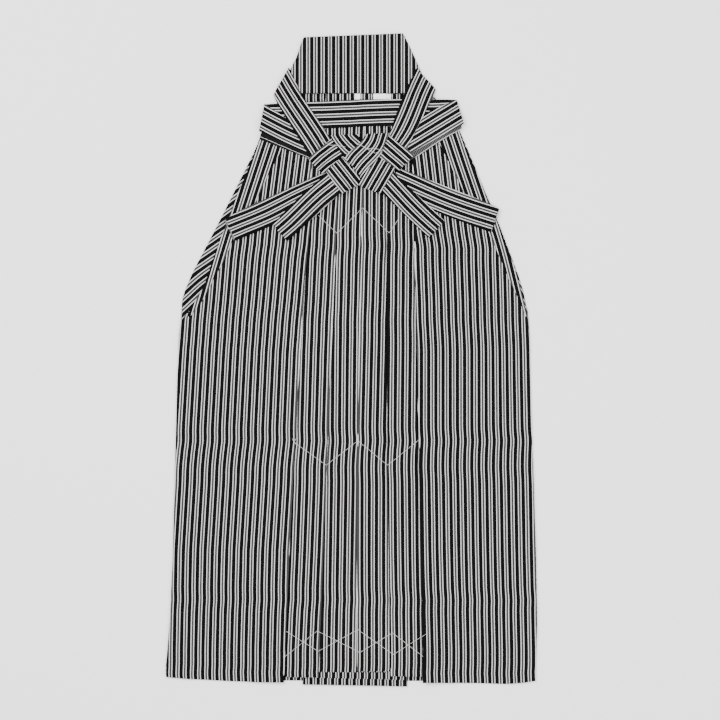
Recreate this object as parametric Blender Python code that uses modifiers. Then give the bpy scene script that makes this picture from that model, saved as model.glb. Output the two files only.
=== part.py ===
# A pleated hakama laid flat on its back panel, front up, with its four ties folded into a cross.
# Plan measures are in millimetres: across, to the right of the middle of the garment, and down,
# from the seam of the front waistband towards the hem. Heights are above the surface it lies on.

from collections import namedtuple

import bmesh
import bpy
import numpy as np

MM = 0.001
WAIST_SEAM_Y = 383.0    # the front waist seam, above the middle of the whole garment
BOARD_SEAM = -53.8      # the back board meets the back panel here, above the front waist seam

SKIRT_CLOTH = 1.0       # wall thicknesses
TIE_CLOTH = 1.4
BAND_CLOTH = 1.5
BOARD = 4.5
LABEL = 1.0
KNOT_FILLING = 2.4

SEAT_GAP = 0.3          # between two pieces that lie on each other
FOLD_GAP = 0.35         # between the layers of one folded wall
PILE_CELL = 1.5         # the grid on which the height of the pile is kept
PILE_HALF = (340.0, 560.0)

TURN_IN = 16.0          # the back panel's side edges are turned in by this much
TURN_ROOM = 0.7         # how far a fold bulges past the line it is folded on
CENTRE_PARTING = 1.6    # each fold of the back pleat stops this far from the centre line

Edge = namedtuple("Edge", "down left right")
Fold = namedtuple("Fold", "top middle foot")
Run = namedtuple("Run", "name start end columns start_lift end_lift level")
Stretch = namedtuple("Stretch", "name first_edge second_edge along across")

# The side edges of the back panel.
BACK_EDGES = [
    Edge(-53.4, -113, 131),
    Edge(0, -142, 174),
    Edge(40, -158, 191),
    Edge(66, -171, 202),
    Edge(99, -187.5, 215),
    Edge(124, -200, 226),
    Edge(152, -214, 238),
    Edge(196, -237, 255),
    Edge(238, -259, 271),
    Edge(268, -272, 281),
    Edge(288, -278, 285),
    Edge(304, -278, 289),
    Edge(346, -282, 292),
    Edge(416, -284.5, 293),
    Edge(712, -292, 302.5),
    Edge(810, -297, 304),
    Edge(887, -304, 302),
    Edge(912, -303, 302),
]

# The side edges of the front panel. Above the end of the side opening it is narrower than the back.
FRONT_EDGES = [
    Edge(-38, -118, 150),
    Edge(0, -142, 174),
    Edge(31, -154, 186),
    Edge(72, -170, 204),
    Edge(112, -187, 220.5),
    Edge(166, -207, 242),
    Edge(225, -229, 263),
    Edge(266, -243, 276),
    Edge(290, -258, 282),
    Edge(305, -267, 286),
    Edge(317, -279.5, 289.5),
    Edge(346, -283, 292.5),
    Edge(416, -285.5, 293.5),
    Edge(712, -293, 303),
    Edge(810, -298, 304.5),
    Edge(895, -304, 302.5),
    Edge(912, -303.5, 302.5),
]

# The inner edges of the leaf-shaped pleats, which run from the waist to the end of the opening.
LEAF_EDGES = [
    Edge(0, -98, 131),
    Edge(36, -114, 148),
    Edge(51, -121, 155.5),
    Edge(84, -138.5, 172.5),
    Edge(123, -156.5, 192),
    Edge(187, -195, 231),
    Edge(225, -211, 247.5),
    Edge(256, -229, 260.5),
    Edge(282, -241, 273.5),
    Edge(312, -264, 285.5),
]
LEAF_COLUMNS = 3

# The hem, seen from the front: how far down it hangs at each place across.
HEM_LINE = {
    "across": (-304, -271, -242, -205, -147, 134, 203, 254, 284, 303),
    "down": (903, 906, 907.5, 909.5, 911.7, 912.5, 913, 914.6, 912.3, 909),
}

# The five front pleats: where each fold lies at the waist, half way down and at the hem, and how far
# across from it the cloth is folded back beneath. Every fold looks to the centre; C lies to the left.
FRONT_FOLDS = {
    "A": Fold(-61, -88.5, -110.5),
    "B": Fold(-17, -36.5, -54),
    "C": Fold(16.5, 12, 10),
    "D": Fold(61.5, 60, 66),
    "E": Fold(99, 110.5, 118),
}
FRONT_DEPTHS = {
    "A": Fold(-34, -38, -40),
    "B": Fold(-34, -38, -42),
    "C": Fold(24, 34, 44),
    "D": Fold(32, 38, 42),
    "E": Fold(34, 38, 40),
}
FOLD_LEVELS = (0, 449, 900)

# The back pleat: its two folds meet on the centre line, over a wide under layer.
BACK_FOLDS = {
    "centre": Fold(6, 2, -1.6),
    "under left": Fold(-44, -64, -78.5),
    "under right": Fold(56, 74, 90),
}

# The runs of cloth in each panel, from left to right, with the level at which each is piled up.
# Each lift is how far a run's own hem hangs above the hem line.
FRONT_RUNS = [
    Run("outer left", "left edge", "A", 7, 0, 0, 4),
    Run("A return", "A", "A in", 2, 0, 10.5, 3),
    Run("A to B", "A in", "B", 5, 10.5, 8.5, 2),
    Run("B return", "B", "B in", 2, 8.5, 17.5, 1),
    Run("B to C", "B in", "C in", 6, 17.5, 17.5, 0),
    Run("C return", "C in", "C", 2, 17.5, 19, 1),
    Run("C to D", "C", "D in", 5, 19, 19, 2),
    Run("D return", "D in", "D", 2, 19, 11.5, 3),
    Run("D to E", "D", "E in", 5, 11.5, 9.5, 4),
    Run("E return", "E in", "E", 2, 9.5, 0, 5),
    Run("outer right", "E", "right edge", 7, 0, 0, 6),
]
BACK_RUNS = [
    Run("left turn-in", "left inner", "left edge", 1, 3, 3, 1),
    Run("left half", "left edge", "centre left", 5, 3, 3, 0),
    Run("left return", "centre left", "under left", 2, 3, -3.4, 1),
    Run("under layer", "under left", "under right", 4, -3.4, -6, 2),
    Run("right return", "under right", "centre right", 2, -6, 3, 1),
    Run("right half", "centre right", "right edge", 5, 3, 3, 0),
    Run("right turn-in", "right edge", "right inner", 1, 3, 3, 1),
]

# Rows of the panels, closer together where the side edges bend.
FRONT_ROWS = (-38, 0, 32, 66, 100, 134, 168, 202, 236, 268, 292, 305, 317, 346,
              400, 470, 540, 610, 680, 750, 820, 870, 912)
BACK_ROWS = (-53.4, -20, 20, 60, 100, 140, 185, 230, 268, 288, 304, 330,
             380, 450, 520, 590, 660, 730, 800, 860, 912)

BOARD_SIDES = {
    "left": [(-78, -146), (-83.5, -133), (-90, -113), (-97, -100), (-114.5, BOARD_SEAM)],
    "right": [(84.5, -152.5), (95.5, -130.5), (106, -107.5), (118, -80), (130, BOARD_SEAM)],
}
BOARD_EDGE_ROUNDING = 1.2

WAISTBAND = Stretch(
    "waistband",
    [(-143, -36), (-70, -39), (15.5, -43.5), (83, -43.5), (173, -43.5)],
    [(-151, 5), (-45, 1.5), (15.5, -1.5), (68, -0.8), (182, -3)], 22, 3)

LABELS = [
    Stretch("label_small", [(6, -50), (14.7, -50)], [(6, -44.6), (14.7, -44.6)], 1, 1),
    Stretch("label_wide", [(36, -50), (65, -50)], [(36, -44.6), (65, -44.6)], 3, 1),
]

# The front ties turn back over the waistband, so each starts on its fold at the side.
FRONT_TIES = [
    Stretch("front_tie_left_under", [(-146, 5), (-72, 32)], [(-151, 21.5), (-62, 56)], 7, 2),
    Stretch("front_tie_right_under", [(176, -6), (98, 30)], [(180, 4.5), (96, 46)], 7, 2),
    Stretch("front_tie_left", [(-142, -36.5), (-106, -12), (-66, 13)], [(-151.5, 8), (-60, 49)], 9, 3),
    Stretch("front_tie_right", [(172.5, -43.5), (121.5, -21.5), (86, 3)], [(184.5, -4), (88, 42)], 9, 3),
]

BACK_TIES = [
    Stretch("back_tie_left", [(-102.5, -96.5), (-80.5, -47.5), (-46, 1.5), (-30, 29)],
            [(-128, -51.5), (-121.5, -37.5), (-75, 39.5), (-66, 55)], 12, 3),
    Stretch("back_tie_right", [(106.5, -95), (87, -42), (67.5, 9.5), (62, 26)],
            [(138, -61), (134.5, -50), (92, 34.5), (86, 47)], 12, 3),
]

KNOT_FILLING_AT = {"across": 14.0, "down": 62.0, "half_width": 48.0, "half_length": 30.0}

# Each free end is one band folded back on itself at its outer end: its lower layer, then its upper.
TIE_ENDS = [
    ("tie_end_left_outer",
     Stretch("lower", [(-40, 84), (-207, 156)], [(-28, 112), (-128, 162), (-192, 188.5)], 7, 2),
     Stretch("upper", [(-206.5, 152), (-38, 76)], [(-191.5, 184), (-128, 159), (-26, 108)], 7, 2)),
    ("tie_end_right_outer",
     Stretch("lower", [(78, 77), (239, 138)], [(64, 107), (153, 146.5), (228.5, 174)], 7, 2),
     Stretch("upper", [(240, 136), (76, 71)], [(229, 171), (153.5, 144), (64, 103)], 7, 2)),
    ("tie_end_left_inner",
     Stretch("lower", [(-34, 80), (-126, 161)], [(-14, 106), (-103, 187)], 6, 2),
     Stretch("upper", [(-127, 161), (-34, 79)], [(-103.5, 186.5), (-14, 105)], 6, 2)),
    ("tie_end_right_inner",
     Stretch("lower", [(66, 75), (151, 154)], [(47, 106), (124.5, 182)], 6, 2),
     Stretch("upper", [(151, 154), (66, 74)], [(124.5, 181.5), (47, 105)], 6, 2)),
]

# The stretches of tie that show in the knot, from the lowest to the topmost.
KNOT_STRETCHES = [
    Stretch("knot_top_left", [(-36.5, 15), (-26, 36), (-8, 58)], [(10, 13.5), (18, 26), (22, 44)], 5, 4),
    Stretch("knot_lower_right", [(12.5, 98), (15, 84), (48, 45)], [(47.5, 111.5), (72, 70), (80, 56)], 6, 4),
    Stretch("knot_upper_right", [(45, 50), (77.5, 73.5)], [(61, 15.5), (103.5, 47.5)], 5, 4),
    Stretch("knot_centre", [(-12, 50), (13.5, 29), (25, 13)], [(15.5, 82.5), (47, 50), (62.5, 11.5)], 7, 4),
    Stretch("knot_upper_left", [(-71.5, 54), (-32.5, 21)], [(-47.5, 79), (-14, 49)], 6, 4),
    Stretch("knot_lower_left", [(-16, 51), (14.5, 86), (12, 96)], [(-41.5, 75), (-15.5, 111)], 6, 4),
]

FINISHES = {
    "striped cloth": {"colour": (0.17, 0.17, 0.17), "roughness": 0.82},
    "striped tie": {"colour": (0.19, 0.19, 0.19), "roughness": 0.8},
    "white label": {"colour": (0.85, 0.86, 0.88), "roughness": 0.6},
}


class Pile:
    # Keeps the height of the topmost cloth laid so far, so that the next piece lies on it.

    def __init__(self):
        counts = [int(2 * half / PILE_CELL) + 1 for half in PILE_HALF]
        self.top = np.zeros(counts)
        self.corner = np.array([-PILE_HALF[0], -PILE_HALF[1] + WAIST_SEAM_Y])

    def cell_of(self, places):
        return (places - self.corner) / PILE_CELL

    def lay(self, plan, thickness, gap):
        sheet = self.over(plan, thickness, gap)
        self.cover(sheet, thickness)
        return sheet

    def over(self, plan, thickness, gap):
        # Each point clears whatever lies under the faces around it.
        rows, columns = plan.shape[:2]
        near = np.pad(plan, ((1, 1), (1, 1), (0, 0)), mode="edge")
        around = [near[i:i + rows, j:j + columns] for i in range(3) for j in range(3)]
        low = np.floor(self.cell_of(np.min(around, axis=0))).astype(int) - 1
        high = np.ceil(self.cell_of(np.max(around, axis=0))).astype(int) + 2
        heights = np.zeros((rows, columns, 1))
        for i in range(rows):
            for j in range(columns):
                under = self.top[low[i, j, 0]:high[i, j, 0], low[i, j, 1]:high[i, j, 1]]
                clear = gap if under.max() > 0 else 0.0
                heights[i, j] = under.max() + clear + thickness / 2
        return np.concatenate([plan, heights], axis=2)

    def rest(self, plan, thickness):
        # Lies flat on the surface under the garment.
        heights = np.full(plan.shape[:2] + (1,), thickness / 2)
        sheet = np.concatenate([plan, heights], axis=2)
        self.cover(sheet, thickness)
        return sheet

    def cover(self, sheet, thickness):
        # Each face counts at its higher split into two triangles.
        corner, right = sheet[:-1, :-1], sheet[:-1, 1:]
        below, far = sheet[1:, :-1], sheet[1:, 1:]
        for u in even_shares(right - corner):
            for v in even_shares(below - corner):
                place = (corner * (1 - u) + right * u) * (1 - v) + (below * (1 - u) + far * u) * v
                if u >= v:
                    one = corner + (right - corner) * u + (far - right) * v
                else:
                    one = corner + (below - corner) * v + (far - below) * u
                if u + v <= 1:
                    other = corner + (right - corner) * u + (below - corner) * v
                else:
                    other = far + (below - far) * (1 - u) + (right - far) * (1 - v)
                height = np.maximum(one[..., 2], other[..., 2]) + thickness / 2
                cells = np.rint(self.cell_of(place[..., :2])).astype(int)
                np.maximum.at(self.top, (cells[..., 0], cells[..., 1]), height)


def even_shares(sides):
    # Shares along a face's side, close enough to touch every cell of the pile that it crosses.
    longest = np.linalg.norm(sides[..., :2], axis=-1).max()
    return np.linspace(0, 1, int(np.ceil(longest / PILE_CELL * 1.4)) + 1)


def along_line(points, count):
    # Evenly spaced places along a line through the given points.
    points = np.array(points, dtype=float)
    lengths = np.linalg.norm(np.diff(points, axis=0), axis=1)
    reached = np.concatenate([[0], np.cumsum(lengths)])
    wanted = np.linspace(0, reached[-1], count)
    return np.stack([np.interp(wanted, reached, points[:, axis]) for axis in (0, 1)], axis=-1)


def ruled(stretch):
    # The plan of a band between its two edges: rows run across it, columns along it.
    first = along_line(stretch.first_edge, stretch.along + 1)
    second = along_line(stretch.second_edge, stretch.along + 1)
    share = np.linspace(0, 1, stretch.across + 1)[:, None, None]
    return first * (1 - share) + second * share


def turn(before, after):
    # The outermost line of a fold, halfway between the two layers that it joins.
    heading = before[:, -1, :2] - before[:, -2, :2]
    heading /= np.linalg.norm(heading, axis=1, keepdims=True)
    middle = (before[:, -1] + after[:, 0]) / 2
    rise = np.abs(after[:, 0, 2] - before[:, -1, 2])
    middle[:, :2] += heading * rise[:, None] / 2
    return middle[:, None]


def folded_wall(pile, plans, levels, thickness, seat_gap):
    # Lays the runs of one wall level by level, then joins them with folds from end to end.
    laid = {}
    for level in sorted(set(levels)):
        gap = seat_gap if level == 0 else FOLD_GAP
        together = [number for number, own in enumerate(levels) if own == level]
        for number in together:
            laid[number] = pile.over(plans[number], thickness, gap)
        for number in together:
            pile.cover(laid[number], thickness)
    strips = [laid[0]]
    for number in range(1, len(plans)):
        strips.append(turn(laid[number - 1], laid[number]))
        strips.append(laid[number])
    wall = np.concatenate(strips, axis=1)
    pile.cover(wall, thickness)
    return wall


def edge_at(table, side, down):
    levels = [row.down for row in table]
    return np.interp(down, levels, [getattr(row, side) for row in table])


def fold_at(fold, down):
    return np.polyval(np.polyfit(FOLD_LEVELS, fold, 2), down)


def front_line(name, down):
    # Where one of the front panel's lines lies across, at each level down.
    sides = {"left edge": "left", "right edge": "right"}
    if name in sides:
        return edge_at(FRONT_EDGES, sides[name], down)
    place = fold_at(FRONT_FOLDS[name[0]], down)
    if name.endswith(" in"):
        place = place + fold_at(FRONT_DEPTHS[name[0]], down)
    return place


def back_line(name, down):
    centre = fold_at(BACK_FOLDS["centre"], down)
    lines = {
        "left edge": edge_at(BACK_EDGES, "left", down) + TURN_ROOM,
        "right edge": edge_at(BACK_EDGES, "right", down) - TURN_ROOM,
        "left inner": edge_at(BACK_EDGES, "left", down) + TURN_IN,
        "right inner": edge_at(BACK_EDGES, "right", down) - TURN_IN,
        "centre left": centre - CENTRE_PARTING - TURN_ROOM,
        "centre right": centre + CENTRE_PARTING + TURN_ROOM,
    }
    if name in lines:
        return lines[name]
    return fold_at(BACK_FOLDS[name], down)


def panel_run(run, line, rows):
    # The plan of one run of a panel: rows run down it, columns across it.
    share = np.linspace(0, 1, run.columns + 1)[None, :]
    lift = run.start_lift * (1 - share) + run.end_lift * share
    rows = np.array(rows, dtype=float)[:, None]
    fall = (rows - rows[0]) / (rows[-1] - rows[0])
    down = rows - fall * lift
    for _ in range(2):
        across = line(run.start, down) * (1 - share) + line(run.end, down) * share
        hem = np.interp(across[-1:], HEM_LINE["across"], HEM_LINE["down"])
        down = rows[0] + fall * (hem - lift - rows[0])
    return np.stack([across, down], axis=-1)


def leaf_plan(side):
    # A leaf-shaped pleat, from its inner edge on the front panel to the panel's own edge.
    down = np.array([row.down for row in LEAF_EDGES], dtype=float)[:, None]
    share = np.linspace(0, 1, LEAF_COLUMNS + 1)[None, :]
    inner = edge_at(LEAF_EDGES, side, down)
    outer = edge_at(FRONT_EDGES, side, down)
    across = inner * (1 - share) + outer * share
    return np.stack([across, np.broadcast_to(down, across.shape)], axis=-1)


def board_plan():
    left = along_line(BOARD_SIDES["left"], 6)
    right = along_line(BOARD_SIDES["right"], 6)
    share = np.linspace(0, 1, 7)[None, :, None]
    return left[:, None] * (1 - share) + right[:, None] * share


def knot_filling_plan():
    # A square grid drawn into an ellipse.
    at = KNOT_FILLING_AT
    steps = np.linspace(-1, 1, 7)
    u, v = np.meshgrid(steps, steps)
    across = at["across"] + at["half_width"] * u * np.sqrt(1 - v * v / 2)
    down = at["down"] + at["half_length"] * v * np.sqrt(1 - u * u / 2)
    return np.stack([across, down], axis=-1)


def cloth_object(name, wall, thickness, collection, material):
    # A grid moved onto the wall's points and given its thickness to both sides.
    rows, columns = wall.shape[0] - 1, wall.shape[1] - 1
    bm = bmesh.new()
    bmesh.ops.create_grid(bm, x_segments=columns, y_segments=rows, size=1.0)
    for vertex in bm.verts:
        column = round((vertex.co.x + 1) / 2 * columns)
        row = round((vertex.co.y + 1) / 2 * rows)
        across, down, height = wall[row, column]
        vertex.co = (across * MM, (WAIST_SEAM_Y - down) * MM, height * MM)
    bmesh.ops.recalc_face_normals(bm, faces=bm.faces)
    mesh = bpy.data.meshes.new(name)
    bm.to_mesh(mesh)
    bm.free()
    mesh.materials.append(material)
    piece = bpy.data.objects.new(name, mesh)
    collection.objects.link(piece)
    solidify = piece.modifiers.new("thickness", "SOLIDIFY")
    solidify.thickness = thickness * MM
    solidify.offset = 0.0
    return piece


def finish(name, kind):
    material = bpy.data.materials.new(name)
    material.use_nodes = True
    shader = material.node_tree.nodes["Principled BSDF"]
    shader.inputs["Base Color"].default_value = (*FINISHES[kind]["colour"], 1.0)
    shader.inputs["Roughness"].default_value = FINISHES[kind]["roughness"]
    shader.inputs["Metallic"].default_value = 0.0
    return material


def round_edges(piece, width):
    bevel = piece.modifiers.new("rounded edges", "BEVEL")
    bevel.width = width * MM
    bevel.segments = 2
    bevel.limit_method = "ANGLE"
    bevel.angle_limit = np.radians(50)


def build_skirt(pile, collection):
    plans = [panel_run(run, back_line, BACK_ROWS) for run in BACK_RUNS]
    wall = folded_wall(pile, plans, [run.level for run in BACK_RUNS], SKIRT_CLOTH, 0.0)
    cloth_object("back_panel", wall, SKIRT_CLOTH, collection, finish("back_panel", "striped cloth"))

    board = pile.rest(board_plan(), BOARD)
    piece = cloth_object("back_board", board, BOARD, collection, finish("back_board", "striped cloth"))
    round_edges(piece, BOARD_EDGE_ROUNDING)

    for stretch in LABELS:
        label = pile.lay(ruled(stretch), LABEL, SEAT_GAP)
        cloth_object(stretch.name, label, LABEL, collection, finish(stretch.name, "white label"))

    plans = [panel_run(run, front_line, FRONT_ROWS) for run in FRONT_RUNS]
    wall = folded_wall(pile, plans, [run.level for run in FRONT_RUNS], SKIRT_CLOTH, SEAT_GAP)
    cloth_object("front_panel", wall, SKIRT_CLOTH, collection, finish("front_panel", "striped cloth"))

    for side in ("left", "right"):
        name = "side_pleat_" + side
        leaf = pile.lay(leaf_plan(side), SKIRT_CLOTH, SEAT_GAP)
        cloth_object(name, leaf, SKIRT_CLOTH, collection, finish(name, "striped cloth"))


def build_ties(pile, collection):
    band = pile.lay(ruled(WAISTBAND), BAND_CLOTH, SEAT_GAP)
    cloth_object("waistband", band, BAND_CLOTH, collection, finish("waistband", "striped tie"))
    for stretch in FRONT_TIES + BACK_TIES:
        tie = pile.lay(ruled(stretch), TIE_CLOTH, SEAT_GAP)
        cloth_object(stretch.name, tie, TIE_CLOTH, collection, finish(stretch.name, "striped tie"))

    core = pile.lay(knot_filling_plan(), KNOT_FILLING, SEAT_GAP)
    core = cloth_object("knot_core", core, KNOT_FILLING, collection, finish("knot_core", "striped tie"))
    round_edges(core, KNOT_FILLING / 3)

    for name, lower, upper in TIE_ENDS:
        wall = folded_wall(pile, [ruled(lower), ruled(upper)], [0, 1], TIE_CLOTH, SEAT_GAP)
        cloth_object(name, wall, TIE_CLOTH, collection, finish(name, "striped tie"))

    for stretch in KNOT_STRETCHES:
        band = pile.lay(ruled(stretch), TIE_CLOTH, SEAT_GAP)
        cloth_object(stretch.name, band, TIE_CLOTH, collection, finish(stretch.name, "striped tie"))


def main():
    for old in list(bpy.data.objects):
        bpy.data.objects.remove(old, do_unlink=True)
    collection = bpy.data.collections.new("hakama")
    bpy.context.scene.collection.children.link(collection)
    pile = Pile()
    build_skirt(pile, collection)
    build_ties(pile, collection)


main()
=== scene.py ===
from collections import namedtuple
from functools import partial

import bmesh
import bpy
import numpy as np
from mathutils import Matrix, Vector


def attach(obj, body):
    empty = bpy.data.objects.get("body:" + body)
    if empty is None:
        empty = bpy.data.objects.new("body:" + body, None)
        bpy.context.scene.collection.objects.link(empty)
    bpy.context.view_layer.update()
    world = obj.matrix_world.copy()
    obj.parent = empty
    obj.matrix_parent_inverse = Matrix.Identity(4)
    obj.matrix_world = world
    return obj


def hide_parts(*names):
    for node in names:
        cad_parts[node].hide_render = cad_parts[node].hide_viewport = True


# A pleated hakama laid flat, front up. Tables are in millimetres: across, to the right of its middle,
# and down, from the seam of the front waistband towards the hem. Heights are above the surface.

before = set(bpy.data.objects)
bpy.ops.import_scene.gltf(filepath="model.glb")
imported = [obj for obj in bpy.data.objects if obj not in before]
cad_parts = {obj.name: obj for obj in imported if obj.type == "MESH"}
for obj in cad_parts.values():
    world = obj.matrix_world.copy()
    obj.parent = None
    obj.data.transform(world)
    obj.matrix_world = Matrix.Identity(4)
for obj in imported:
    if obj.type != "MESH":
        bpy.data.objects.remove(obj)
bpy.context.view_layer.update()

mm = 0.001
waistSeamY = 383.0  # the front waist seam, above the middle of the whole garment

cloth = {"skirt": 1.0, "tie": 1.4, "band": 1.5, "board": 4.5, "label": 0.8}  # wall thicknesses
spacing = {"rows": 8.0, "columns": 6.0, "tie": 3.2, "board": 5.0, "label": 1.8}  # of the points
settling = {"skirt": 1, "leaf": 2, "tie": 3, "knot": 4}  # rounds in which the cloth bridges the steps
rounding = {"skirt": 0.25, "label": 0.15, "knot": 0.7, "tieShare": 0.3, "angle": 60.0, "segments": 2}
pileSettings = {"cell": 1.5, "halfWidth": 340.0, "halfLength": 560.0, "seatGap": 0.3, "foldGap": 0.35,
                "overlap": 1.3}
stripePeriod = 11.8
fullTurn = 6.2832  # radians

Edge = namedtuple("Edge", "down left right")
Fold = namedtuple("Fold", "top middle foot")
Run = namedtuple("Run", "name start end startLift endLift level")
Band = namedtuple("Band", "name firstEdge secondEdge crown")
Crease = namedtuple("Crease", "across down endAcross endDown width height")


# Camera, light and floor.

view = {"across": 14.1, "down": 383.2, "width": 1180.8, "lens": 200.0, "sensor": 36.0}
lights = {
    "key": {"at": (-1.5, 1.3, 2.9), "size": 2.2, "power": 138.0},
    "fill": {"at": (1.9, -0.9, 2.7), "size": 2.6, "power": 78.0},
    "top": {"at": (0.0, 0.0, 3.4), "size": 3.0, "power": 92.0},
}
studio = {"skyLight": 0.85, "clipEnd": 50.0, "floorHalf": 4.0, "floorDrop": 0.0002,
          "floorTone": (0.95, 0.95, 0.95, 1), "floorRoughness": 0.9}


def place(across, down, height=0.0):
    return Vector((across * mm, (waistSeamY - down) * mm, height * mm))


def intoScene(thing):
    bpy.context.scene.collection.objects.link(thing)


def addCamera():
    data = bpy.data.cameras.new("camera")
    data.lens = view["lens"]
    data.sensor_width = view["sensor"]
    data.clip_end = studio["clipEnd"]
    camera = bpy.data.objects.new("camera", data)
    distance = view["width"] * view["lens"] / view["sensor"]
    camera.location = place(view["across"], view["down"], distance)
    intoScene(camera)
    bpy.context.scene.camera = camera


def addLights():
    for name, light in lights.items():
        data = bpy.data.lights.new(name, "AREA")
        data.shape = "DISK"
        data.size = light["size"]
        data.energy = light["power"]
        lamp = bpy.data.objects.new(name, data)
        lamp.location = light["at"]
        lamp.rotation_euler = (-Vector(light["at"])).to_track_quat("-Z", "Y").to_euler()
        intoScene(lamp)
    world = bpy.data.worlds.new("studio")
    world.use_nodes = True
    sky = world.node_tree.nodes["Background"]
    sky.inputs["Color"].default_value = (1, 1, 1, 1)
    sky.inputs["Strength"].default_value = studio["skyLight"]
    bpy.context.scene.world = world


def addFloor():
    bm = bmesh.new()
    bmesh.ops.create_grid(bm, x_segments=1, y_segments=1, size=studio["floorHalf"])
    bmesh.ops.translate(bm, verts=bm.verts, vec=(0, 0, -studio["floorDrop"]))
    mesh = bpy.data.meshes.new("floor")
    bm.to_mesh(mesh)
    bm.free()
    floor = bpy.data.objects.new("floor", mesh)
    intoScene(floor)
    material = bpy.data.materials.new("floor")
    material.use_nodes = True
    shader = material.node_tree.nodes["Principled BSDF"]
    shader.inputs["Base Color"].default_value = studio["floorTone"]
    shader.inputs["Roughness"].default_value = studio["floorRoughness"]
    mesh.materials.append(material)


addCamera()
addLights()
addFloor()
print("camera, lights and floor")


# Materials.

dye = {
    "black": (0.0008, 0.0008, 0.001, 1),
    "white": (0.69, 0.685, 0.67, 1),
    "grey": (0.036, 0.037, 0.036, 1),
    "blackEdge": 0.266,  # shares of a stripe repeat, from the middle of a black stripe
    "whiteEdge": 0.353,
    "softness": 0.014,
    "wander": 0.007,  # how far the stripes' edges stray with the threads
    "threadsAcross": 900.0,
    "threadsAlong": 2600.0,
}
twill = {"pitch": 1.9, "depth": 0.06, "blackLift": 0.0045, "whiteDrop": 0.08, "threads": 1500.0,
         "thinnest": 0.5, "unevenness": 0.8, "warpPitch": 0.6, "warpShare": 0.25}
selvedgeHatch = {"pitch": 2.6, "slant": 0.6, "depth": 0.8, "middle": 0.35}
wear = {"patch": 9.0, "patchDetail": 4.0, "patchShare": 0.6, "slubsAcross": 420.0, "slubsAlong": 24.0,
        "slubDetail": 3.0, "strength": 0.09, "roughness": 0.62, "roughnessSwing": 0.12}
finish = {"sheen": 0.015, "sheenRoughness": 0.35, "specular": 0.02, "bump": 0.3}


def newGroup(name, inputs, outputs):
    # Every input is a place, and every output but a colour is a number.
    tree = bpy.data.node_groups.new(name, "ShaderNodeTree")
    for label in inputs:
        tree.interface.new_socket(label, in_out="INPUT", socket_type="NodeSocketVector")
    for label in outputs:
        kind = "NodeSocketColor" if label == "Colour" else "NodeSocketFloat"
        tree.interface.new_socket(label, in_out="OUTPUT", socket_type=kind)
    return tree, tree.nodes.new("NodeGroupInput"), tree.nodes.new("NodeGroupOutput")


def mathNode(tree, operation, first, second=None, third=None):
    node = tree.nodes.new("ShaderNodeMath")
    node.operation = operation
    for socket, value in zip(node.inputs, (first, second, third)):
        if isinstance(value, (int, float)):
            socket.default_value = value
        elif value is not None:
            tree.links.new(value, socket)
    return node.outputs[0]


def mixColour(tree, kind, share, first, second):
    node = tree.nodes.new("ShaderNodeMix")
    node.data_type = "RGBA"
    node.blend_type = kind
    node.clamp_factor = True
    for socket, value in ((node.inputs[0], share), (node.inputs[6], first), (node.inputs[7], second)):
        if isinstance(value, (int, float, tuple)):
            socket.default_value = value
        else:
            tree.links.new(value, socket)
    return node.outputs[2]


def noiseNode(tree, vector, scale, detail):
    node = tree.nodes.new("ShaderNodeTexNoise")
    node.inputs["Scale"].default_value = scale
    node.inputs["Detail"].default_value = detail
    tree.links.new(vector, node.inputs["Vector"])
    return node.outputs["Fac"]


def stretched(tree, vector, across, along):
    node = tree.nodes.new("ShaderNodeMapping")
    node.inputs["Scale"].default_value = (across, along, 1.0)
    tree.links.new(vector, node.inputs["Vector"])
    return node.outputs["Vector"]


def threadParts(tree, vector):
    # How far across the threads a place is, and how far along them.
    node = tree.nodes.new("ShaderNodeSeparateXYZ")
    tree.links.new(vector, node.inputs[0])
    return node.outputs["X"], node.outputs["Y"]


def buildStripeGroup():
    # Black, white, grey, white: a warp stripe that reads the cloth's own threads.
    tree, source, result = newGroup("woven stripes", ["Cloth"], ["Colour", "Black"])
    calc = partial(mathNode, tree)
    across = threadParts(tree, source.outputs["Cloth"])[0]
    repeat = calc("DIVIDE", across, stripePeriod * mm)
    away = calc("ABSOLUTE", calc("SUBTRACT", repeat, calc("ROUND", repeat)))
    fine = stretched(tree, source.outputs["Cloth"], dye["threadsAcross"], dye["threadsAlong"])
    thread = calc("SUBTRACT", noiseNode(tree, fine, 1.0, 1.0), 0.5)
    away = calc("MULTIPLY_ADD", thread, dye["wander"], away)
    ramp = tree.nodes.new("ShaderNodeValToRGB")
    soft = dye["softness"]
    stops = [(dye["blackEdge"] - soft, "black"), (dye["blackEdge"] + soft, "white"),
             (dye["whiteEdge"] - soft, "white"), (dye["whiteEdge"] + soft, "grey")]
    marks = ramp.color_ramp.elements
    for mark, (position, shade) in zip(marks[:], (stops[0], stops[-1])):
        mark.position = position
        mark.color = dye[shade]
    for position, shade in stops[1:-1]:
        marks.new(position).color = dye[shade]
    tree.links.new(away, ramp.inputs["Fac"])
    tree.links.new(ramp.outputs["Color"], result.inputs["Colour"])
    tree.links.new(calc("LESS_THAN", away, dye["blackEdge"]), result.inputs["Black"])
    return tree


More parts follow.
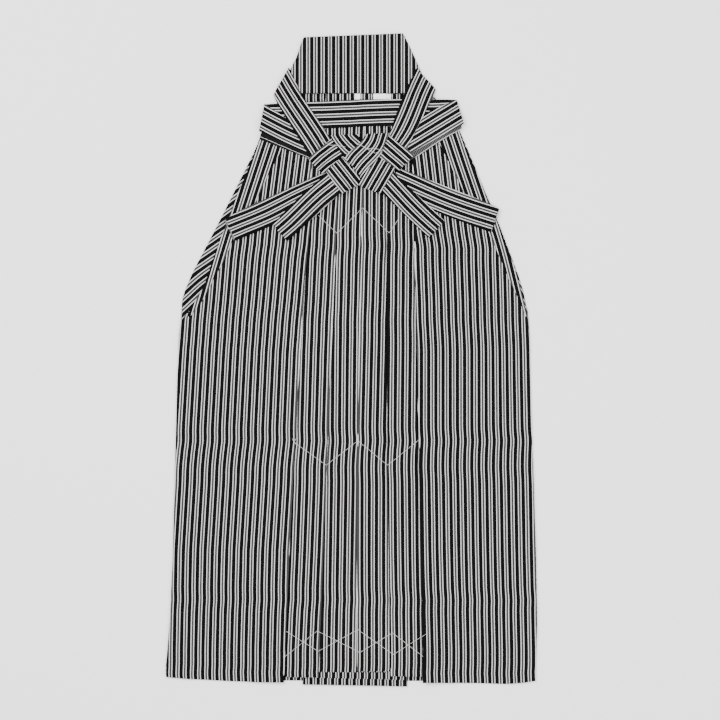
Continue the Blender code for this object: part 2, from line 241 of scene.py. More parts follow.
def buildTwillGroup():
    # Diagonal ribs of the weave, with uneven threads.
    tree, source, result = newGroup("twill weave", ["Cloth"], ["Rib", "Height"])
    calc = partial(mathNode, tree)
    across, along = threadParts(tree, source.outputs["Cloth"])
    turns = calc("MULTIPLY", calc("ADD", across, along), fullTurn / (twill["pitch"] * mm))
    wave = calc("MULTIPLY_ADD", calc("SINE", turns), 0.5, 0.5)
    fine = stretched(tree, source.outputs["Cloth"], twill["threads"], twill["threads"])
    uneven = noiseNode(tree, fine, 1.0, 1.0)
    full = calc("MULTIPLY_ADD", uneven, twill["unevenness"], twill["thinnest"])
    rib = calc("MULTIPLY", wave, full)
    warp = calc("SINE", calc("MULTIPLY", across, fullTurn / (twill["warpPitch"] * mm)))
    height = calc("MULTIPLY_ADD", warp, twill["warpShare"], rib)
    tree.links.new(rib, result.inputs["Rib"])
    tree.links.new(height, result.inputs["Height"])
    return tree


def buildWearGroup():
    # Soft uneven patches from handling and pressing.
    tree, source, result = newGroup("handled cloth", ["Place", "Cloth"], ["Tone", "Roughness"])
    calc = partial(mathNode, tree)
    patch = noiseNode(tree, source.outputs["Place"], wear["patch"], wear["patchDetail"])
    drawn = stretched(tree, source.outputs["Cloth"], wear["slubsAcross"], wear["slubsAlong"])
    slub = noiseNode(tree, drawn, 1.0, wear["slubDetail"])
    patchPart = calc("MULTIPLY", patch, wear["patchShare"])
    slubPart = calc("MULTIPLY", slub, 1 - wear["patchShare"])
    swing = calc("SUBTRACT", calc("ADD", patchPart, slubPart), 0.5)
    tone = calc("MULTIPLY_ADD", swing, 2 * wear["strength"], 1.0)
    rough = calc("MULTIPLY_ADD", swing, 2 * wear["roughnessSwing"], wear["roughness"])
    tree.links.new(tone, result.inputs["Tone"])
    tree.links.new(rough, result.inputs["Roughness"])
    return tree


groups = {"stripes": buildStripeGroup(), "twill": buildTwillGroup(), "wear": buildWearGroup()}


def useGroup(tree, key, **inputs):
    node = tree.nodes.new("ShaderNodeGroup")
    node.node_tree = groups[key]
    for label, value in inputs.items():
        tree.links.new(value, node.inputs[label])
    return node


def scaleColour(tree, colour, factor):
    node = tree.nodes.new("ShaderNodeVectorMath")
    node.operation = "SCALE"
    tree.links.new(colour, node.inputs[0])
    tree.links.new(factor, node.inputs["Scale"])
    return node.outputs["Vector"]


def clothMaterial(name, plain=None, sheen=finish["sheen"], lightThread=0.0):
    # Plain holds the two tones of a piece that shows no stripes. The light thread is given by half its
    # width, in millimetres.
    material = bpy.data.materials.new(name)
    material.use_nodes = True
    tree = material.node_tree
    calc = partial(mathNode, tree)
    shader = tree.nodes["Principled BSDF"]
    threadMap = tree.nodes.new("ShaderNodeUVMap")
    threadMap.uv_map = "cloth"
    threads = threadMap.outputs["UV"]
    spot = tree.nodes.new("ShaderNodeTexCoord")
    weave = useGroup(tree, "twill", Cloth=threads)
    worn = useGroup(tree, "wear", Place=spot.outputs["Object"], Cloth=threads)
    if plain is None:
        lift = (twill["blackLift"], twill["blackLift"], twill["blackLift"], 1)
        stripes = useGroup(tree, "stripes", Cloth=threads)
        colour = stripes.outputs["Colour"]
        rib, black = weave.outputs["Rib"], stripes.outputs["Black"]
        ribOnBlack = calc("MULTIPLY", rib, black)
        ribOnLight = calc("MULTIPLY", rib, calc("SUBTRACT", 1.0, black))
        colour = mixColour(tree, "ADD", ribOnBlack, colour, lift)
        drop = calc("MULTIPLY_ADD", ribOnLight, -twill["whiteDrop"], 1.0)
        colour = scaleColour(tree, colour, drop)
    else:
        colour = mixColour(tree, "MIX", weave.outputs["Rib"], plain[0], plain[1])
        if lightThread:
            across, along = threadParts(tree, threads)
            slant = calc("MULTIPLY_ADD", across, selvedgeHatch["slant"], along)
            turns = calc("MULTIPLY", slant, fullTurn / (selvedgeHatch["pitch"] * mm))
            hatch = calc("MULTIPLY_ADD", calc("SINE", turns), selvedgeHatch["depth"],
                         selvedgeHatch["middle"])
            colour = mixColour(tree, "MIX", hatch, plain[0], plain[1])
            onThread = calc("LESS_THAN", calc("ABSOLUTE", across), lightThread * mm)
            colour = mixColour(tree, "MIX", onThread, colour, dye["white"])
    colour = scaleColour(tree, colour, worn.outputs["Tone"])
    tree.links.new(colour, shader.inputs["Base Color"])
    tree.links.new(worn.outputs["Roughness"], shader.inputs["Roughness"])
    shader.inputs["Sheen Weight"].default_value = sheen
    shader.inputs["Sheen Roughness"].default_value = finish["sheenRoughness"]
    shader.inputs["Specular IOR Level"].default_value = finish["specular"]
    bump = tree.nodes.new("ShaderNodeBump")
    bump.inputs["Strength"].default_value = finish["bump"]
    bump.inputs["Distance"].default_value = twill["depth"] * mm
    tree.links.new(weave.outputs["Height"], bump.inputs["Height"])
    tree.links.new(bump.outputs["Normal"], shader.inputs["Normal"])
    return material


stripedSkirt = clothMaterial("striped skirt cloth")
stripedTie = clothMaterial("striped tie cloth")
darkSelvedge = clothMaterial(
    "dark tie selvedge", ((0.0012, 0.0012, 0.0014, 1), (0.012, 0.012, 0.013, 1)), lightThread=0.2)
greySelvedge = clothMaterial(
    "grey tie selvedge", ((0.003, 0.003, 0.003, 1), (0.11, 0.11, 0.108, 1)), lightThread=0.3)
labelCloth = clothMaterial("label cloth", ((0.97, 0.98, 1.0, 1), (0.9, 0.92, 0.96, 1)), sheen=0.05)
bastingCotton = clothMaterial("basting cotton", ((0.72, 0.72, 0.7, 1), (0.58, 0.58, 0.56, 1)), sheen=0.1)
# Near-black thread for the board seam: partly the seam's own colour, partly painted shade along the
# board's lower edge.
darkThreadAndSeamShade = clothMaterial("dark sewing thread", ((0.004, 0.004, 0.004, 1), (0.02, 0.02, 0.02, 1)))
print("materials")


# The pile of cloth, and the shapes that are laid on it.

class Pile:
    # Keeps the height of the topmost cloth laid so far, so that the next piece lies on it.

    def __init__(self):
        halves = (pileSettings["halfWidth"], pileSettings["halfLength"])
        self.top = np.zeros([int(2 * half / pileSettings["cell"]) + 1 for half in halves])
        self.corner = np.array([-halves[0], waistSeamY - halves[1]])

    def cellOf(self, places):
        return (places - self.corner) / pileSettings["cell"]

    def over(self, plan, thickness, gap, rounds):
        # Each point clears whatever lies under the faces around it; then the cloth bridges the steps.
        rows, columns = plan.shape[:2]
        near = np.pad(plan, ((1, 1), (1, 1), (0, 0)), mode="edge")
        around = [near[i:i + rows, j:j + columns] for i in range(3) for j in range(3)]
        low = np.floor(self.cellOf(np.min(around, axis=0))).astype(int) - 1
        high = np.ceil(self.cellOf(np.max(around, axis=0))).astype(int) + 2
        clear = np.zeros((rows, columns))
        for i in range(rows):
            for j in range(columns):
                under = self.top[low[i, j, 0]:high[i, j, 0], low[i, j, 1]:high[i, j, 1]].max()
                clear[i, j] = under + (gap if under > 0 else 0.0) + thickness / 2
        return np.dstack([plan, bridged(clear, rounds)])

    def cover(self, sheet, thickness):
        corner, right = sheet[:-1, :-1], sheet[:-1, 1:]
        below, far = sheet[1:, :-1], sheet[1:, 1:]
        for u in evenShares(right - corner):
            for v in evenShares(below - corner):
                spot = (corner * (1 - u) + right * u) * (1 - v) + (below * (1 - u) + far * u) * v
                cells = np.rint(self.cellOf(spot[..., :2])).astype(int)
                np.maximum.at(self.top, (cells[..., 0], cells[..., 1]), spot[..., 2] + thickness / 2)

    def lay(self, plan, thickness, rounds=0, raised=None):
        sheet = self.over(plan, thickness, pileSettings["seatGap"], rounds)
        if raised is not None:
            sheet[..., 2] += raised
        self.cover(sheet, thickness)
        return sheet


def evenShares(sides):
    longest = np.linalg.norm(sides[..., :2], axis=-1).max()
    return np.linspace(0, 1, int(np.ceil(longest / pileSettings["cell"] * pileSettings["overlap"])) + 1)


def bridged(clear, rounds):
    # Cloth is stiff enough to leave a step slowly, and never sinks below what it must clear.
    height = clear.copy()
    for _ in range(rounds):
        near = np.pad(height, 1, mode="edge")
        mean = (near[:-2, 1:-1] + near[2:, 1:-1] + near[1:-1, :-2] + near[1:-1, 2:]) / 4
        height = np.maximum(clear, mean)
    return height


def pair(first, second):
    return np.stack([first, second], axis=-1)


def reachAlong(points):
    return np.concatenate([[0], np.cumsum(np.linalg.norm(np.diff(points, axis=0), axis=1))])


def alongLine(points, count):
    points = np.array(points, dtype=float)
    reached = reachAlong(points)
    wanted = np.linspace(0, reached[-1], count)
    return np.stack([np.interp(wanted, reached, points[:, axis]) for axis in (0, 1)], axis=-1)


def lineLength(points):
    return np.linalg.norm(np.diff(np.array(points, dtype=float), axis=0), axis=1).sum()


creaseFade = 6  # how fast a crease rises from its ends


def creaseHeight(plan, creases):
    # Soft ridges as listed: each runs between two places and dies away at its ends.
    total = np.zeros(plan.shape[:2])
    for crease in creases:
        start = np.array([crease.across, crease.down], dtype=float)
        run = np.array([crease.endAcross, crease.endDown], dtype=float) - start
        length = np.linalg.norm(run)
        offset = plan[..., :2] - start
        share = (offset @ run) / length ** 2
        aside = (offset[..., 0] * run[1] - offset[..., 1] * run[0]) / length
        ends = np.clip(share * (1 - share) * creaseFade, 0, 1)
        total += crease.height * ends * np.exp(-(aside / crease.width) ** 2)
    return total


def turnStrips(before, after, cornerSteps=3):
    # The places round a rounded fold between two layers.
    heading = before[:, -1, :2] - before[:, -2, :2]
    heading = heading / np.linalg.norm(heading, axis=1, keepdims=True)
    middle = (before[:, -1, :3] + after[:, 0, :3]) / 2
    half = (after[:, 0, 2] - before[:, -1, 2]) / 2
    strips = []
    for step in range(cornerSteps):
        angle = np.pi * ((step + 1) / (cornerSteps + 1) - 0.5)
        strip = middle.copy()
        strip[:, :2] += heading * (np.abs(half) * np.cos(angle))[:, None]
        strip[:, 2] += half * np.sin(angle)
        strips.append(strip[:, None])
    return np.concatenate(strips, axis=1)


def foldedWall(plans, levels, thickness, threads, rounds, raised, seatGap):
    # Lays the runs of one wall level by level, then joins them with folds from end to end.
    # Threads gives each run's place in the cloth, which the folds carry on.
    laid = {}
    for level in sorted(set(levels)):
        gap = seatGap if level == 0 else pileSettings["foldGap"]
        together = [number for number, own in enumerate(levels) if own == level]
        for number in together:
            laid[number] = pile.over(plans[number], thickness, gap, rounds)
            laid[number][..., 2] += raised(laid[number])
        for number in together:
            pile.cover(laid[number], thickness)
    strips, woven = [laid[0]], [threads[0]]
    for number in range(1, len(plans)):
        turned = turnStrips(laid[number - 1], laid[number])
        strips += [turned, laid[number]]
        before, after = threads[number - 1][:, -1:], threads[number][:, :1]
        woven += [np.repeat((before + after) / 2, turned.shape[1], axis=1), threads[number]]
    wall = np.concatenate(strips, axis=1)
    pile.cover(wall, thickness)
    return wall, np.concatenate(woven, axis=1)


def clothPiece(name, node, wall, threads, thickness=cloth["skirt"], material=stripedSkirt,
               bevel=rounding["skirt"]):
    # A grid moved onto the wall's points, with the place of each point in the cloth as its UV.
    rows, columns = wall.shape[0] - 1, wall.shape[1] - 1
    bm = bmesh.new()
    bmesh.ops.create_grid(bm, x_segments=columns, y_segments=rows, size=1.0)
    uvLayer = bm.loops.layers.uv.new("cloth")
    for vertex in bm.verts:
        column = round((vertex.co.x + 1) / 2 * columns)
        row = round((vertex.co.y + 1) / 2 * rows)
        vertex.co = place(*wall[row, column])
        for loop in vertex.link_loops:
            loop[uvLayer].uv = threads[row, column] * mm
    bmesh.ops.recalc_face_normals(bm, faces=bm.faces)
    for face in bm.faces:
        face.smooth = True
    mesh = bpy.data.meshes.new(name)
    bm.to_mesh(mesh)
    bm.free()
    mesh.materials.append(material)
    piece = bpy.data.objects.new(name, mesh)
    solidify = piece.modifiers.new("thickness", "SOLIDIFY")
    solidify.thickness = thickness * mm
    solidify.offset = 0.0
    rounded = piece.modifiers.new("rounded edges", "BEVEL")
    rounded.width = bevel * mm
    rounded.segments = rounding["segments"]
    rounded.limit_method = "ANGLE"
    rounded.angle_limit = np.radians(rounding["angle"])
    addPiece(piece)
    if node:
        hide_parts(node)
    return piece


def addPiece(piece):
    intoScene(piece)
    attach(piece, "root")


pile = Pile()


# The skirt: back panel, board, labels, front panel and the two leaf-shaped pleats.

backEdges = [Edge(*row) for row in (
    (-53.4, -113, 131), (0, -142, 174), (40, -158, 191), (66, -171, 202), (99, -187.5, 215),
    (124, -200, 226), (152, -214, 238), (196, -237, 255), (238, -259, 271), (268, -272, 281),
    (288, -278, 285), (304, -278, 289), (346, -282, 292), (416, -284.5, 293), (712, -292, 302.5),
    (810, -297, 304), (887, -304, 302), (912, -303, 302),
)]
frontEdges = [Edge(*row) for row in (
    (-38, -118, 150), (0, -142, 174), (31, -154, 186), (72, -170, 204), (112, -187, 220.5),
    (166, -207, 244), (225, -229, 265), (266, -243, 277.5), (290, -258, 283), (305, -267, 287),
    (317, -279.5, 289.5), (346, -283, 292.5), (416, -285.5, 293.5), (712, -293, 303), (810, -298, 304.5),
    (895, -304, 302.5), (912, -303.5, 302.5),
)]
leafEdges = [Edge(*row) for row in (
    (0, -98, 131), (36, -114, 148), (51, -121, 155.5), (84, -138.5, 172.5), (123, -156.5, 192),
    (187, -195, 231), (225, -211, 247.5), (256, -229, 260.5), (282, -241, 273.5), (312, -264, 285.5),
)]
hemLine = {
    "across": (-304, -271, -242, -205, -147, 134, 203, 254, 284, 303),
    "down": (903, 906, 907.5, 909.5, 911.7, 912.5, 913, 914.6, 912.3, 909),
}
frontFolds = {
    "A": Fold(-61, -89.3, -111.5),
    "B": Fold(-18, -37.3, -54.6),
    "C": Fold(22, 12, 10),
    "D": Fold(61.5, 60, 66),
    "E": Fold(99, 110.5, 118),
}
frontDepths = {
    "A": Fold(-34, -38, -40),
    "B": Fold(-34, -38, -42),
    "C": Fold(24, 34, 44),
    "D": Fold(32, 38, 42),
    "E": Fold(34, 38, 40),
}
foldLevels = (0, 449, 900)
foldBulge = {"A": (3.4, 158.0, 52.0)}  # how far a fold bows across, at which level, and over what length
backFolds = {
    "centre": Fold(6, 2, -1.6),
    "under left": Fold(-44, -64, -78.5),
    "under right": Fold(56, 74, 90),
}
backPleat = {"turnIn": 34.0, "openingFoot": 262.0, "turnRoom": 0.7, "parting": 1.6, "slopeOver": 24.0}
widthLevels = (0, 300, 900)  # where each run is measured for its number of columns
backPanel = {"top": -53.4, "foot": 912.0, "flat": (1010, 966)}
frontPanel = {"top": -38.0, "foot": 912.0, "flat": (1040, 950)}

# The runs of cloth in each panel, from left to right, with the level at which each is piled up.
# Each lift is how far a run's own hem hangs above the hem line.
frontRuns = [
    Run("outer left", "left edge", "A", 0, 0, 4),
    Run("A return", "A", "A in", 0, 10.5, 3),
    Run("A to B", "A in", "B", 10.5, 8.5, 2),
    Run("B return", "B", "B in", 8.5, 17.5, 1),
    Run("B to C", "B in", "C in", 17.5, 17.5, 0),
    Run("C return", "C in", "C", 17.5, 19, 1),
    Run("C to D", "C", "D in", 19, 19, 2),
    Run("D return", "D in", "D", 19, 11.5, 3),
    Run("D to E", "D", "E in", 11.5, 9.5, 4),
    Run("E return", "E in", "E", 9.5, 0, 5),
    Run("outer right", "E", "right edge", 0, 0, 6),
]
backRuns = [
    Run("left turn-in", "left inner", "left edge", 3, 3, 1),
    Run("left half", "left edge", "centre left", 3, 3, 0),
    Run("left return", "centre left", "under left", 3, -3.4, 1),
    Run("under layer", "under left", "under right", -3.4, -6, 2),
    Run("right return", "under right", "centre right", -6, 3, 1),
    Run("right half", "centre right", "right edge", 3, 3, 0),
    Run("right turn-in", "right edge", "right inner", 3, 3, 1),
]

# Where the middle of one black stripe of each run lies across, at each level down. The number is how
# many repeats it stands from the run's first.
trackLevels = (0, 40, 203, 367, 531, 695, 859)
stripeTracks = {
    "outer left": {-12: (-216.5, -221.4, -241.9, -256, -265.7, -275.4, -278.6),
                   -8: (-169.9, -174.7, -195.7, -209.1, -218, -227.9, -231.7),
                   0: (-76.1, -80.9, -102.2, -116.3, -123.5, -133.5, -137.6)},
    "A to B": {0: (-35.4, -34.4, -46.6, -54, -58.7, -64.7, -71.8)},
    "B to C": {0: (4.6, 3.4, -3.3, -6.5, -8, -10.7, -13.3)},
    "C to D": {0: (37.9, 37.8, 37.2, 33.2, 29.5, 29.1, 29.4)},
    "D to E": {0: (85.6, 85.6, 85.1, 84.5, 82.8, 84, 86.6)},
    "outer right": {0: (108.2, 113, 132.2, 138.4, 138.3, 140.4, 144.2),
                    6: (179.1, 183.8, 203.7, 209.2, 209.4, 211.7, 215.2),
                    11: (237.8, 242.7, 261.6, 266.3, 268.6, 271.1, 274.7)},
}
backStripe = {"left half": -98.4, "under layer": -78.0, "right half": 97.4, "waist shift": 3.1,
              "shift from": -10.0, "shift over": 30.0}

frontCreases = [Crease(*row) for row in (
    (-250, 196, 262, 204, 7, 0.7), (-270, 514, -96, 520, 8, 0.9), (-60, 508, 120, 516, 9, 0.6),
    (120, 512, 290, 505, 11, 0.5), (-285, 774, -100, 780, 7, 0.7), (-90, 778, 110, 772, 9, 0.5),
    (130, 778, 300, 784, 8, 0.6), (-240, 330, -130, 470, 26, 0.9), (-268, 560, -210, 770, 20, 0.8),
    (-170, 600, -130, 860, 16, 0.6), (160, 260, 210, 430, 22, 0.9), (230, 430, 262, 640, 24, 0.8),
    (170, 600, 190, 860, 15, 0.6), (-40, 300, -60, 470, 10, 0.5), (30, 560, 38, 760, 12, 0.5),
    (84, 250, 88, 420, 9, 0.5), (-15, 207, 205, 209, 5, 1.0), (-30, 568, 280, 572, 4, 0.8),
    (125, 690, 290, 694, 4, 0.5),
)]
backCreases = [Crease(*row) for row in (
    (-240, 240, -60, 230, 12, 0.6), (60, 520, 280, 512, 12, 0.7), (-270, 760, -90, 772, 11, 0.6),
    (110, 300, 150, 480, 18, 0.7), (-180, 540, -140, 720, 20, 0.7),
)]
frontKinks = [  # where the pressed folds across push the stripes aside: level, how far, over what length
    (196, 0.9, 14), (318, -0.5, 20), (516, 1.3, 13), (560, -0.7, 16), (776, 0.8, 12), (896, -0.7, 8)]


def edgeAt(table, side, down):
    return np.interp(down, [row.down for row in table], [getattr(row, side) for row in table])


def foldAt(fold, down):
    return np.polyval(np.polyfit(foldLevels, fold, 2), down)


def frontLine(name, down):
    sides = {"left edge": "left", "right edge": "right"}
    if name in sides:
        return edgeAt(frontEdges, sides[name], down)
    spot = foldAt(frontFolds[name[0]], down)
    if name[0] in foldBulge:
        amount, level, length = foldBulge[name[0]]
        spot = spot + amount * np.exp(-((down - level) / length) ** 2)
    if name.endswith(" in"):
        spot = spot + foldAt(frontDepths[name[0]], down)
    return spot


def backLine(name, down):
    centre = foldAt(backFolds["centre"], down)
    halfParting = backPleat["parting"] + backPleat["turnRoom"]
    left, right = edgeAt(backEdges, "left", down), edgeAt(backEdges, "right", down)
    lines = {
        "left edge": left + backPleat["turnRoom"],
        "right edge": right - backPleat["turnRoom"],
        "left inner": left + backPleat["turnIn"],
        "right inner": right - backPleat["turnIn"],
        "centre left": centre - halfParting,
        "centre right": centre + halfParting,
    }
    return lines[name] if name in lines else foldAt(backFolds[name], down)


def panelRun(run, line, top, foot):
    # The plan of one run: rows run down it, columns across it.
    widest = max(abs(line(run.start, level) - line(run.end, level)) for level in widthLevels)
    share = np.linspace(0, 1, max(2, round(widest / spacing["columns"])) + 1)[None, :]
    lift = run.startLift * (1 - share) + run.endLift * share
    rows = np.linspace(top, foot, round((foot - top) / spacing["rows"]) + 1)[:, None]
    fall = (rows - top) / (foot - top)
    down = rows - fall * lift
    for _ in range(2):
        across = line(run.start, down) * (1 - share) + line(run.end, down) * share
        hem = np.interp(across[-1:], hemLine["across"], hemLine["down"])
        down = top + fall * (hem - lift - top)
    return pair(across, down)


def trackThreads(run, plan):
    # Distance across the threads, from the black stripes that the run's tracks follow.
    across, down = plan[..., 0], plan[..., 1]
    tracks = stripeTracks[run]
    numbers = sorted(tracks)
    lines = [np.interp(down, trackLevels, tracks[number]) for number in numbers]
    if len(numbers) == 1:
        threads = across - lines[0] + numbers[0] * stripePeriod
    else:
        threads = np.zeros_like(across)
        for gap in range(len(numbers) - 1):
            left, right = lines[gap], lines[gap + 1]
            first, last = numbers[gap] * stripePeriod, numbers[gap + 1] * stripePeriod
            value = first + (across - left) / (right - left) * (last - first)
            inside = across >= left if gap else np.full(across.shape, True)
            threads = np.where(inside, value, threads)
    for level, amount, width in frontKinks:
        threads = threads - amount * np.exp(-((down - level) / width) ** 2)
    return pair(threads, down)


def frontThreads(plans):
    threads = {}
    for number, run in enumerate(frontRuns):
        if run.name in stripeTracks:
            threads[number] = trackThreads(run.name, plans[number])
    for number, run in enumerate(frontRuns):
        if run.name in stripeTracks:
            continue
        # A hidden return carries on from the fold that shows.
        fromLeft = run.name[0] in "AB"
        other = number - 1 if fromLeft else number + 1
        at = threads[other][:, -1:, 0] if fromLeft else threads[other][:, :1, 0]
        foldPlace = plans[number][:, :1, 0] if fromLeft else plans[number][:, -1:, 0]
        apart = np.abs(plans[number][..., 0] - foldPlace)
        value = at + apart if fromLeft else at - apart
        threads[number] = pair(value, plans[number][..., 1])
    return [threads[number] for number in range(len(frontRuns))]


def backThreads(plans):
    threads = []
    for run, plan in zip(backRuns, plans):
        across, down = plan[..., 0], plan[..., 1]
        if run.name.endswith("turn-in"):
            # The grain is mirrored about the slanting edge that the cloth is folded on.
            side = "left" if run.name.startswith("left") else "right"
            level = np.minimum(down, backPleat["openingFoot"])
            above = edgeAt(backEdges, side, level - backPleat["slopeOver"])
            slope = (edgeAt(backEdges, side, level) - above) / backPleat["slopeOver"]
            edge = edgeAt(backEdges, side, level) + slope * (down - level)
            aside = (across - edge) / (1 + slope ** 2)
            value = across - 2 * aside - backStripe[side + " half"]
            threads.append(pair(value, down + 2 * aside * slope))
        else:
            side = run.name.split()[0]
            key = "under layer" if side == "under" else side + " half"
            nearWaist = np.clip((backStripe["shift from"] - down) / backStripe["shift over"], 0, 1)
            drawn = backStripe["waist shift"] * nearWaist
            threads.append(pair(across - backStripe[key] + drawn, down))
    return threads


def panelWall(panel, runs, line, weave, creases, seatGap):
    plans = [panelRun(run, line, panel["top"], panel["foot"]) for run in runs]
    return foldedWall(plans, [run.level for run in runs], cloth["skirt"], weave(plans),
                      settling["skirt"], lambda plan: creaseHeight(plan, creases), seatGap)


def buildBackPanel():
    wall, threads = panelWall(backPanel, backRuns, backLine, backThreads, backCreases, 0.0)
    piece = clothPiece("hakama_back", "back_panel", wall, threads)
    buildLabels()


boardSides = {
    "left": [(-78, -146), (-83.5, -133), (-90, -113), (-97, -100), (-114.5, -53.8)],
    "right": [(84.5, -152.5), (95.5, -130.5), (106, -107.5), (118, -80), (130, -53.8)],
}
boardFinish = {"width": 245.0, "stripe": -76.9, "stretch": 1.012, "rounding": 1.4}


def buildBoard():
    rows = round(lineLength(boardSides["left"]) / spacing["board"]) + 1
    left, right = alongLine(boardSides["left"], rows), alongLine(boardSides["right"], rows)
    columns = round(boardFinish["width"] / spacing["board"]) + 1
    share = np.linspace(0, 1, columns)[None, :, None]
    plan = left[:, None] * (1 - share) + right[:, None] * share
    heights = np.full(plan.shape[:2], cloth["board"] / 2)
    wall = np.dstack([plan, heights])
    pile.cover(wall, cloth["board"])
    threads = pair((plan[..., 0] - boardFinish["stripe"]) / boardFinish["stretch"], plan[..., 1])
    clothPiece("back_board_cover", "back_board", wall, threads, cloth["board"],
               bevel=boardFinish["rounding"])


labels = [
    Band("blank_label_small", [(6, -53.2), (14.7, -53.2)], [(6, -44), (14.7, -44)], 0),
    Band("blank_label_wide", [(36, -53.2), (65, -53.2)], [(36, -44), (65, -44)], 0),
]


def ruledPlan(band, step):
    # The plan of a band between its two edges: rows run across it, columns along it.
    along = max(2, round(max(lineLength(band.firstEdge), lineLength(band.secondEdge)) / step))
    width = np.linalg.norm(np.array(band.firstEdge[0]) - np.array(band.secondEdge[0]))
    endWidth = np.linalg.norm(np.array(band.firstEdge[-1]) - np.array(band.secondEdge[-1]))
    across = max(2, round(max(width, endWidth) / step))
    first, second = alongLine(band.firstEdge, along + 1), alongLine(band.secondEdge, along + 1)
    share = np.linspace(0, 1, across + 1)[:, None, None]
    return first * (1 - share) + second * share


stripeCurve = {"points": 24, "degree": 3, "longDegree": 5, "longFrom": 7, "reach": 150.0}


def smoothLine(points):
    # A curve along the points, carried straight on past both of its ends.
    points = np.array(points, dtype=float)
    reached = reachAlong(points)
    wanted = np.linspace(0, reached[-1], stripeCurve["points"])
    isLong = len(points) >= stripeCurve["longFrom"]
    degree = stripeCurve["longDegree"] if isLong else min(len(points) - 1, stripeCurve["degree"])
    fits = [np.polyfit(reached, points[:, axis], degree) for axis in (0, 1)]
    curve = np.stack([np.polyval(fit, wanted) for fit in fits], axis=-1)
    ends = []
    for tip, inner in ((curve[0], curve[1]), (curve[-1], curve[-2])):
        ends.append(tip + (tip - inner) / np.linalg.norm(tip - inner) * stripeCurve["reach"])
    return np.concatenate([[ends[0]], curve, [ends[1]]])


def signedDistance(plan, line):
    starts, runs = line[:-1], np.diff(line, axis=0)
    offset = plan[..., None, :2] - starts
    share = np.clip((offset * runs).sum(axis=-1) / (runs ** 2).sum(axis=-1), 0, 1)
    distance = np.linalg.norm(offset - share[..., None] * runs, axis=-1)
    side = np.sign(offset[..., 0] * runs[:, 1] - offset[..., 1] * runs[:, 0])
    chosen = distance.argmin(axis=-1)[..., None]
    return np.take_along_axis(side * distance, chosen, axis=-1)[..., 0]


# A line along the middle of a black stripe of each leaf and tie, or two, numbered in repeats.
blackLines = {
    "side_leaf_left": {0: [(-149.6, 50.4), (-167.2, 105.2), (-181.9, 149.3), (-199.3, 208),
            (-208.9, 239.4)]},
    "side_leaf_right": {0: [(190.2, 41.4), (211.7, 105), (237.6, 185), (251.6, 237)]},
    "front_waistband": {0: [(-136, -34.2), (-95, -34.8), (-54, -34.5), (-29.5, -35.3), (-3.3, -37.4),
            (16.4, -38.7), (37.7, -39.1), (64, -39.1), (98, -39.9), (131, -41.4), (166, -42.6)],
        3: [(-136, 1.6), (-95, 1), (-54, 1.3), (-29.5, 0.6), (-3.3, -1.4), (16.4, -2.7), (37.7, -3.1),
            (64, -3.1), (98, -3.9), (131, -5.4), (166, -6.6)]},
    "front_tie_lower_left": {0: [(-149.7, 16.4), (-73.8, 49.2)]},
    "front_tie_lower_right": {0: [(176.2, 6), (146, 22.7), (125, 36.5)]},
    "front_tie_upper_left": {0: [(-145.6, -17.1), (-122.5, -4.6), (-113.1, 0.2), (-89.4, 11.5)]},
    "front_tie_upper_right": {0: [(111.2, -0.7), (133.6, -14.4), (162.4, -32)]},
    "back_tie_band_left": {0: [(-102.8, -74), (-86.2, -45.8), (-78.7, -36.3), (-60.3, -9.1), (-49.8, 8.3),
            (-39, 24.7)],
        2: [(-123, -62.1), (-106.4, -33.9), (-98.5, -22.9), (-80.2, 4.3), (-69.7, 21.5), (-58.8, 37.9)]},
    "back_tie_band_right": {0: [(111.7, -77), (98.9, -46.8), (95.6, -39.2), (83.3, -8.7), (71.5, 14.2)],
        2: [(133.8, -67.6), (121, -37.4), (117.8, -30.2), (105.5, 0.2), (90.4, 25.1)]},
    "free_end_left_outer lower": {0: [(-195, 188), (-128, 160.5), (-60, 130)]},
    "free_end_left_outer upper": {0: [(-178.8, 142.8), (-157.4, 133.8), (-136.1, 124), (-116.4, 114.1),
            (-86.9, 100)],
        2: [(-178.8, 167.3), (-157.4, 158.4), (-136.1, 149.2), (-116.4, 139.4)]},
    "free_end_right_outer lower": {0: [(230, 173), (153, 145.5), (100, 122)]},
    "free_end_right_outer upper": {0: [(115, 103.9), (145.1, 116.9), (177.7, 129.4), (215.1, 141.9)]},
    "free_end_left_inner": {0: [(-118.5, 164.6), (-98.6, 147.3), (-84, 132.6), (-67.3, 116.6),
            (-48.2, 99.8)]},
    "free_end_right_inner": {0: [(86.6, 112.2), (118.8, 144.9), (140.7, 164.7)]},
    "knot_top_left": {0: [(-14, 7), (-6.2, 18.6), (6, 31)]},
    "knot_lower_right": {0: [(34.8, 98.1), (49.6, 72.5)]},
    "knot_upper_right": {0: [(62.2, 36.8), (84.3, 56.3)]},
    "knot_centre": {0: [(-2.3, 55.1), (15.2, 35.6), (20.6, 29.9), (29.9, 12.6)],
        2: [(14.5, 70.2), (32.1, 50.7), (41.1, 40.8), (50.3, 23.4)]},
    "knot_upper_left": {0: [(-67.1, 59.5), (-48.9, 42.9), (-32, 30.5)],
        2: [(-52.5, 76.5), (-34.7, 60.4), (-18.5, 49.5)]},
    "knot_lower_left": {0: [(-23.3, 65.8), (-2.8, 91.5)]},
}
viewMiddle = np.array([view["across"], view["down"]])
raisedScale = 1.0018  # the ties lie above the surface, so the camera sees them a little larger


def bandThreads(name, plan):
    # Stripes run beside the band's own black lines. The numbers of two lines are repeats between them.
    lines = blackLines[name]
    numbers = sorted(lines)
    seen = viewMiddle + (plan - viewMiddle) * raisedScale
    away = [signedDistance(seen, smoothLine(lines[number])) for number in numbers]
    value = away[0]
    if len(numbers) == 2:
        value = (numbers[0] + (numbers[1] - numbers[0]) * away[0] / (away[0] - away[1])) * stripePeriod
    reached = reachAlong(plan[plan.shape[0] // 2])
    return pair(value, np.broadcast_to(reached[None, :], value.shape))


